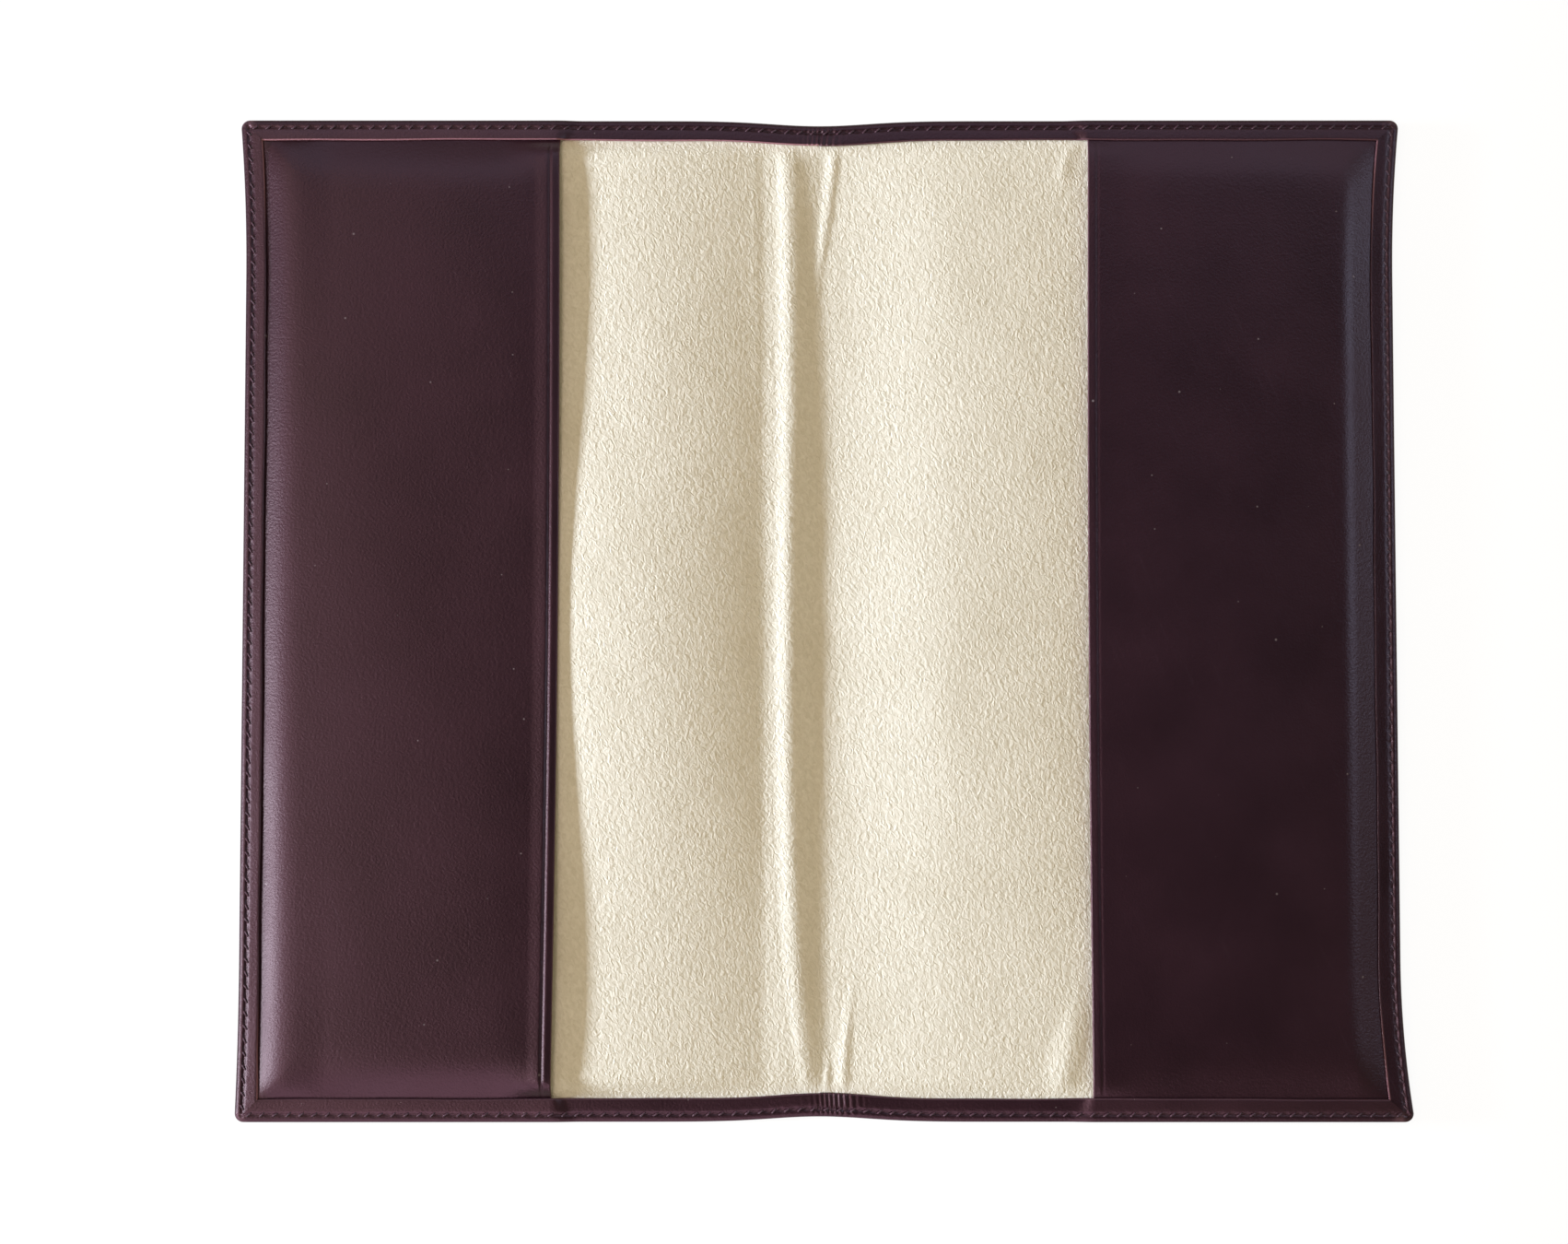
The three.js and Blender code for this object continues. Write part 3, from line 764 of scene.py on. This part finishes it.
# the rubbed colour also paints the corners' glint; the cut colour is paler than bare fibres, since it also
# paints highlights on the lips and a sheen on the turned edge
HIDE_RUBBED_AND_GLINT, HIDE_CUT_AND_SHEEN, HIDE_DUST = "#7A5A60", "#A87880", "#A89A98"
HIDE_GLAZE = "#FFD3D4"
# real pores are about a quarter of a millimetre apart, too fine to show, so they are drawn twice as coarse
PORE_SIZE = 0.55
MOTTLE_SIZE = 22.0
RUB_SIZE = 1.25
SPECK_SPACING = 21.0
# width, length and depth of a hair line, and how far it is turned
HAIRLINE_SIZE, HAIRLINE_TURN = (0.55, 14.0, 1.0), math.radians(24)
# glazed calf: near black in the shade, plum where it is lit, with soft reflections of the windows
hide, tree = new_material("polished_oxblood_hide", HIDE_DARK)
place = add(tree, "ShaderNodeAttribute", attribute_name="place").outputs["Vector"]
wear = add(tree, "ShaderNodeAttribute", attribute_name="wear").outputs["Fac"]
cut = add(tree, "ShaderNodeAttribute", attribute_name="cut").outputs["Fac"]
mottle = add(tree, "ShaderNodeTexNoise", {"Vector": place, "Scale": 1 / MOTTLE_SIZE, "Detail": 4.0})
dye = add(tree, "ShaderNodeMix", {"Factor": mottle.outputs["Fac"], 6: linear(HIDE_DARK),
                                  7: linear(HIDE_WARM)}, data_type="RGBA")
rub_noise = add(tree, "ShaderNodeTexNoise", {"Vector": place, "Scale": 1 / RUB_SIZE, "Detail": 5.0})
rubbed_and_sheen = add(tree, "ShaderNodeMath", {0: rub_noise.outputs["Fac"], 1: wear}, operation="MULTIPLY")
rub_and_glint_mix = add(tree, "ShaderNodeMapRange", {"Value": rubbed_and_sheen.outputs[0], "From Min": 0.25, "From Max": 0.75,
                                           "To Max": 0.7})
# painted light: the rubbed colour gives the corners a glint, the pale cut colour highlights along the lips
# and a sheen on the turned edge
worn_and_glinting = add(tree, "ShaderNodeMix", {"Factor": rub_and_glint_mix.outputs[0], 6: dye.outputs[2], 7: linear(HIDE_RUBBED_AND_GLINT)},
           data_type="RGBA")
cut_and_sheen_mix = add(tree, "ShaderNodeMix", {"Factor": cut, 6: worn_and_glinting.outputs[2], 7: linear(HIDE_CUT_AND_SHEEN)},
            data_type="RGBA")
specks = add(tree, "ShaderNodeTexVoronoi", {"Vector": place, "Scale": 1 / SPECK_SPACING},
             voronoi_dimensions="2D")
chance = add(tree, "ShaderNodeSeparateColor", {"Color": specks.outputs["Color"]}).outputs["Red"]
speck_size = add(tree, "ShaderNodeMath", {0: specks.outputs["Distance"], 1: chance}, operation="DIVIDE")
dust = add(tree, "ShaderNodeMapRange", {"Value": speck_size.outputs[0], "From Min": 0.017,
                                        "From Max": 0.006, "To Max": 0.35})
dusted = add(tree, "ShaderNodeMix", {"Factor": dust.outputs[0], 6: cut_and_sheen_mix.outputs[2], 7: linear(HIDE_DUST)},
             data_type="RGBA")
pores = add(tree, "ShaderNodeTexNoise", {"Vector": place, "Scale": 1 / PORE_SIZE, "Detail": 3.0})
hair_place = add(tree, "ShaderNodeMapping", {"Vector": place, "Scale": HAIRLINE_SIZE,
                                             "Rotation": (0, 0, HAIRLINE_TURN)}, vector_type="TEXTURE")
hairlines = add(tree, "ShaderNodeTexNoise", {"Vector": hair_place.outputs[0], "Scale": 1.0, "Detail": 2.0})
lines = add(tree, "ShaderNodeMapRange", {"Value": hairlines.outputs["Fac"], "From Min": 0.66,
                                         "From Max": 0.74})
gloss = add(tree, "ShaderNodeMapRange", {"Value": mottle.outputs["Fac"], "From Min": 0.3, "From Max": 0.7,
                                         "To Min": 0.3, "To Max": 0.365})
rough = add(tree, "ShaderNodeMath", {0: lines.outputs[0], 1: 0.06, 2: gloss.outputs[0]},
            operation="MULTIPLY_ADD")
pore_bump = add(tree, "ShaderNodeBump", {"Height": pores.outputs["Fac"], "Strength": 0.8,
                                         "Distance": 0.08 * MM})
line_bump = add(tree, "ShaderNodeBump", {"Height": lines.outputs[0], "Strength": 0.3, "Distance": 0.01 * MM,
                                         "Normal": pore_bump.outputs[0]}, invert=True)
skin = add(tree, "ShaderNodeBsdfPrincipled", {"Base Color": dusted.outputs[2],
                                              "Roughness": rough.outputs[0], "IOR": 1.43,
                                              "Specular Tint": linear(HIDE_GLAZE),
                                              "Normal": line_bump.outputs[0]})
add(tree, "ShaderNodeOutputMaterial", {"Surface": skin.outputs[0]})
for piece in covers + pockets:
    dress(piece, hide)
print("hide:", len(tree.nodes), "nodes")

# %% [markdown]
# ## Cream suede
# Suede is the flesh side of a hide, buffed to a short nap. The fibres lie in small clumps about a
# millimetre across, lighter where they lean to the light, so the surface looks pebbled and scatters
# light softly at glancing angles. A bump from two noises gives the clumps, and sheen gives the pale
# rim.

# %% Suede material
SUEDE_PALE, SUEDE_MID, SUEDE_DEEP = "#F4ECD9", "#E4DBC5", "#D2C6AB"
NAP_SIZE = 0.8
NAP_TURN = math.radians(24)
PATCH_SIZE = 24.0
# buffed suede: a matt, pebbled cream that is paler where the nap leans to the light
suede, tree = new_material("napped_cream_suede", SUEDE_MID)
place = add(tree, "ShaderNodeAttribute", attribute_name="place").outputs["Vector"]
lean = add(tree, "ShaderNodeMapping", {"Vector": place, "Rotation": (0, 0, NAP_TURN),
                                       "Scale": (1.0, 1.6, 1.0)}, vector_type="TEXTURE")
clumps = add(tree, "ShaderNodeTexNoise", {"Vector": lean.outputs[0], "Scale": 1 / NAP_SIZE, "Detail": 2.0,
                                          "Roughness": 0.5, "Distortion": 0.9})
patches = add(tree, "ShaderNodeTexNoise", {"Vector": place, "Scale": 1 / PATCH_SIZE, "Detail": 3.0})
tone = add(tree, "ShaderNodeMapRange", {"Value": clumps.outputs["Fac"], "From Min": 0.3, "From Max": 0.7})
shade = add(tree, "ShaderNodeMix", {"Factor": tone.outputs[0], 6: linear(SUEDE_MID), 7: linear(SUEDE_PALE)},
            data_type="RGBA")
deep = add(tree, "ShaderNodeMapRange", {"Value": patches.outputs["Fac"], "From Min": 0.5, "From Max": 0.75,
                                        "To Max": 0.25})
brushed = add(tree, "ShaderNodeMix", {"Factor": deep.outputs[0], 6: shade.outputs[2],
                                      7: linear(SUEDE_DEEP)}, data_type="RGBA")
nap = add(tree, "ShaderNodeBump", {"Height": clumps.outputs["Fac"], "Strength": 1.0, "Distance": 0.2 * MM})
felt = add(tree, "ShaderNodeBsdfPrincipled", {"Base Color": brushed.outputs[2], "Roughness": 0.95,
                                              "Specular IOR Level": 0.1, "Sheen Weight": 0.15,
                                              "Sheen Roughness": 0.5, "Normal": nap.outputs[0]})
add(tree, "ShaderNodeOutputMaterial", {"Surface": felt.outputs[0]})
for piece in linings:
    dress(piece, suede)
print("suede: clumps of", NAP_SIZE, "mm")

# %% [markdown]
# ## Waxed thread and board
# The thread is a twisted, waxed cord in dark wine, a little glossier than cloth. The stiffeners inside
# the covers are plain grey-brown board; they keep their CAD shape, since a cut board is flat and
# square.

# %% Thread and board materials
THREAD_DARK, THREAD_LIGHT = "#2A1217", "#4A2C34"
PLY_SIZE = 0.45
# waxed thread: small dark wine beads with a dull gleam
thread, tree = new_material("waxed_wine_thread", THREAD_DARK)
place = add(tree, "ShaderNodeAttribute", attribute_name="place").outputs["Vector"]
twist = add(tree, "ShaderNodeTexNoise", {"Vector": place, "Scale": 1 / PLY_SIZE, "Detail": 2.0})
ply = add(tree, "ShaderNodeMix", {"Factor": twist.outputs["Fac"], 6: linear(THREAD_DARK),
                                  7: linear(THREAD_LIGHT)}, data_type="RGBA")
ply_bump = add(tree, "ShaderNodeBump", {"Height": twist.outputs["Fac"], "Strength": 0.5,
                                        "Distance": 0.1 * MM})
wax = add(tree, "ShaderNodeBsdfPrincipled", {"Base Color": ply.outputs[2], "Roughness": 0.6, "IOR": 1.45,
                                             "Normal": ply_bump.outputs[0]})
add(tree, "ShaderNodeOutputMaterial", {"Surface": wax.outputs[0]})
for piece in stitches:
    dress(piece, thread)

BOARD_DARK, BOARD_LIGHT = "#7E6A50", "#98825F"
FIBRES_PER_METRE = 900.0
# pulp board: matt grey-brown with short mixed fibres
board, tree = new_material("grey_board", BOARD_DARK)
grain_place = add(tree, "ShaderNodeTexCoord").outputs["Object"]
fibres = add(tree, "ShaderNodeTexNoise", {"Vector": grain_place, "Scale": FIBRES_PER_METRE, "Detail": 4.0})
pulp = add(tree, "ShaderNodeMix", {"Factor": fibres.outputs["Fac"], 6: linear(BOARD_DARK),
                                   7: linear(BOARD_LIGHT)}, data_type="RGBA")
card = add(tree, "ShaderNodeBsdfPrincipled", {"Base Color": pulp.outputs[2], "Roughness": 0.92})
add(tree, "ShaderNodeOutputMaterial", {"Surface": card.outputs[0]})
for name in ("stiffener_left", "stiffener_right"):
    dress(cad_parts[name], board)
print("thread and board are dressed")

# %% [markdown]
# ## Floor, light and camera
# The case lies on white paper and is seen from above, three degrees off straight down. One low window
# on the left models the folds and the nap. A strong lamp so low would also glare in the polished
# leather, so it only lights, and weaker cards stand in for what the leather mirrors: the window, the
# sky on three sides and a pale wall on the right. A high soft sky lights a little too. The room gives
# warm light, looks more neutral in reflections, and is white to the camera. When a cover stands up, the
# window shines straight at it; a blind dims the window above the height that the open case needs.

# %% Floor and world
REACH, FLOOR_LEVEL = 12.0, -0.00005
PAPER, WHITE = "#F3F3F3", "#FFFFFF"
# how much of the floor shines by itself when it is seen; the rest keeps the shadow
WHITE_SHARE, WHITE_STRENGTH = 0.84, 1.1
floor_mesh = bpy.data.meshes.new("floor")
corners = ((-REACH, -REACH), (REACH, -REACH), (REACH, REACH), (-REACH, REACH))
floor_mesh.from_pydata([(x, y, FLOOR_LEVEL) for x, y in corners], [], [(0, 1, 2, 3)])
floor = bpy.data.objects.new("floor", floor_mesh)
bpy.context.scene.collection.objects.link(floor)
# white paper: even and matt, so that only the case and its shadow are seen
paper, tree = new_material("white_paper_floor", WHITE)
ray = add(tree, "ShaderNodeLightPath").outputs
seen = add(tree, "ShaderNodeMath", {0: ray["Is Camera Ray"], 1: ray["Is Glossy Ray"]}, operation="MAXIMUM")
shown = add(tree, "ShaderNodeMath", {0: seen.outputs[0], 1: ray["Is Transmission Ray"]},
            operation="MAXIMUM")
matt = add(tree, "ShaderNodeBsdfDiffuse", {"Color": linear(PAPER)})
white = add(tree, "ShaderNodeEmission", {"Color": linear(WHITE), "Strength": WHITE_STRENGTH})
share = add(tree, "ShaderNodeMath", {0: shown.outputs[0], 1: WHITE_SHARE}, operation="MULTIPLY")
blend = add(tree, "ShaderNodeMixShader", {0: share.outputs[0], 1: matt.outputs[0], 2: white.outputs[0]})
add(tree, "ShaderNodeOutputMaterial", {"Surface": blend.outputs[0]})
dress(floor, paper)

world = bpy.data.worlds.new("daylit_room")
world.use_nodes = True
bpy.context.scene.world = world
tree = world.node_tree
tree.nodes.clear()
direction = add(tree, "ShaderNodeTexCoord").outputs["Generated"]
height = add(tree, "ShaderNodeSeparateXYZ", {0: direction}).outputs["Z"]
upward = add(tree, "ShaderNodeMapRange", {"Value": height, "From Min": 0.05, "From Max": 0.2},
             interpolation_type="SMOOTHSTEP")
overhead = add(tree, "ShaderNodeMapRange", {"Value": height, "From Min": 0.8, "From Max": 0.95},
               interpolation_type="SMOOTHSTEP")
# the room's glow, as linear light
HORIZON_GLOW, CEILING_GLOW = (1, 0.97, 0.92, 1), (0.05, 0.042, 0.035, 1)
# the walls as they light the case, and as the leather mirrors them
WALL_GLOW, WALL_SHEEN = (0.455, 0.395, 0.266, 1), (0.4, 0.335, 0.33, 1)
ray = add(tree, "ShaderNodeLightPath").outputs
wall = add(tree, "ShaderNodeMix", {"Factor": ray["Is Glossy Ray"], 6: WALL_GLOW, 7: WALL_SHEEN},
           data_type="RGBA")
walls = add(tree, "ShaderNodeMix", {"Factor": upward.outputs[0], 6: HORIZON_GLOW, 7: wall.outputs[2]},
            data_type="RGBA")
room = add(tree, "ShaderNodeMix", {"Factor": overhead.outputs[0], 6: walls.outputs[2], 7: CEILING_GLOW},
           data_type="RGBA")
backdrop = add(tree, "ShaderNodeMix", {"Factor": ray["Is Camera Ray"], 6: room.outputs[2], 7: linear(WHITE)},
               data_type="RGBA")
glow = add(tree, "ShaderNodeBackground", {"Color": backdrop.outputs[2], "Strength": 1.0})
add(tree, "ShaderNodeOutputWorld", {"Surface": glow.outputs[0]})
print("floor and world are set")

# %% Lamps
TARGET = Vector((0, 0, 0.004))


def lamp(name, azimuth, elevation, distance, size, power, colour, lights=False, mirrored=True):
    """An area lamp aimed at the case, which lights it, is mirrored in it, or both."""
    light = bpy.data.lights.new(name, "AREA")
    light.shape = "RECTANGLE"
    light.size, light.size_y = size
    light.energy = power
    light.color = linear(colour)[:3]
    shade = bpy.data.objects.new(name, light)
    a, e = math.radians(azimuth), math.radians(elevation)
    away = Vector((math.cos(a) * math.cos(e), math.sin(a) * math.cos(e), math.sin(e)))
    shade.location = TARGET + away * distance
    shade.rotation_euler = away.to_track_quat("Z", "Y").to_euler()
    shade.visible_diffuse, shade.visible_glossy = lights, mirrored
    bpy.context.scene.collection.objects.link(shade)
    return shade


window = lamp("window_left", 178, 10.0, 2.5, (0.6, 0.2), 210.0, "#D8E7FF", lights=True, mirrored=False)
lamp("sky_high", 185, 64, 1.5, (1.9, 0.6), 5.6, "#F8E6DE", lights=True)
lamp("window_card", 193, 32, 1.5, (0.6, 0.55), 26.0, "#D6EFFF")
lamp("sky_left", 200, 44, 1.5, (1.4, 0.9), 10.0, "#FADCFF")
lamp("sky_below", 260, 34, 1.5, (0.9, 0.8), 7.0, "#FADCFF")
lamp("wall_right", 12, 46, 1.5, (0.45, 0.6), 5.4, "#B4DCFF")
lamp("sky_top", 82, 52, 1.5, (1.6, 0.8), 6.4, "#C4D8FF")

# the blind over the window: the heights above the spine, in metres, where its light starts to fade and ends;
# in a lamp, Incoming is the direction of the ray from the lamp to the lit point, and no camera comes into it
BLIND = (0.016, 0.032)
window.data.use_nodes = True
tree = window.data.node_tree
tree.nodes.clear()
beam = add(tree, "ShaderNodeNewGeometry").outputs
start = add(tree, "ShaderNodeSeparateXYZ", {0: beam["Position"]}).outputs
heading = add(tree, "ShaderNodeSeparateXYZ", {0: beam["Incoming"]}).outputs
fall = add(tree, "ShaderNodeMath", {0: heading["Z"], 1: heading["X"]}, operation="DIVIDE")
fallen = add(tree, "ShaderNodeMath", {0: fall.outputs[0], 1: start["X"]}, operation="MULTIPLY")
passing = add(tree, "ShaderNodeMath", {0: start["Z"], 1: fallen.outputs[0]}, operation="SUBTRACT")
let_in = add(tree, "ShaderNodeMapRange", {"Value": passing.outputs[0], "From Min": BLIND[0],
                                          "From Max": BLIND[1], "To Min": 1.0, "To Max": 0.0},
             interpolation_type="SMOOTHSTEP")
daylight = add(tree, "ShaderNodeEmission", {"Strength": let_in.outputs[0]})
add(tree, "ShaderNodeOutputLight", {"Surface": daylight.outputs[0]})
print("seven lamps")

# %% Camera
VIEW_TILT = math.radians(87)
VIEW_DISTANCE = 0.6186
AIM = Vector((-0.00815, -0.0013, 0.003))
camera_data = bpy.data.cameras.new("camera")
camera_data.sensor_width = 36
camera_data.lens = 62.0
camera = bpy.data.objects.new("camera", camera_data)
back = Vector((0, -math.cos(VIEW_TILT), math.sin(VIEW_TILT)))
camera.location = AIM + back * VIEW_DISTANCE
camera.rotation_euler = back.to_track_quat("Z", "Y").to_euler()
bpy.context.scene.collection.objects.link(camera)
bpy.context.scene.camera = camera
bpy.context.scene.view_settings.view_transform = "Standard"
print("camera at", [round(v, 4) for v in camera.location])
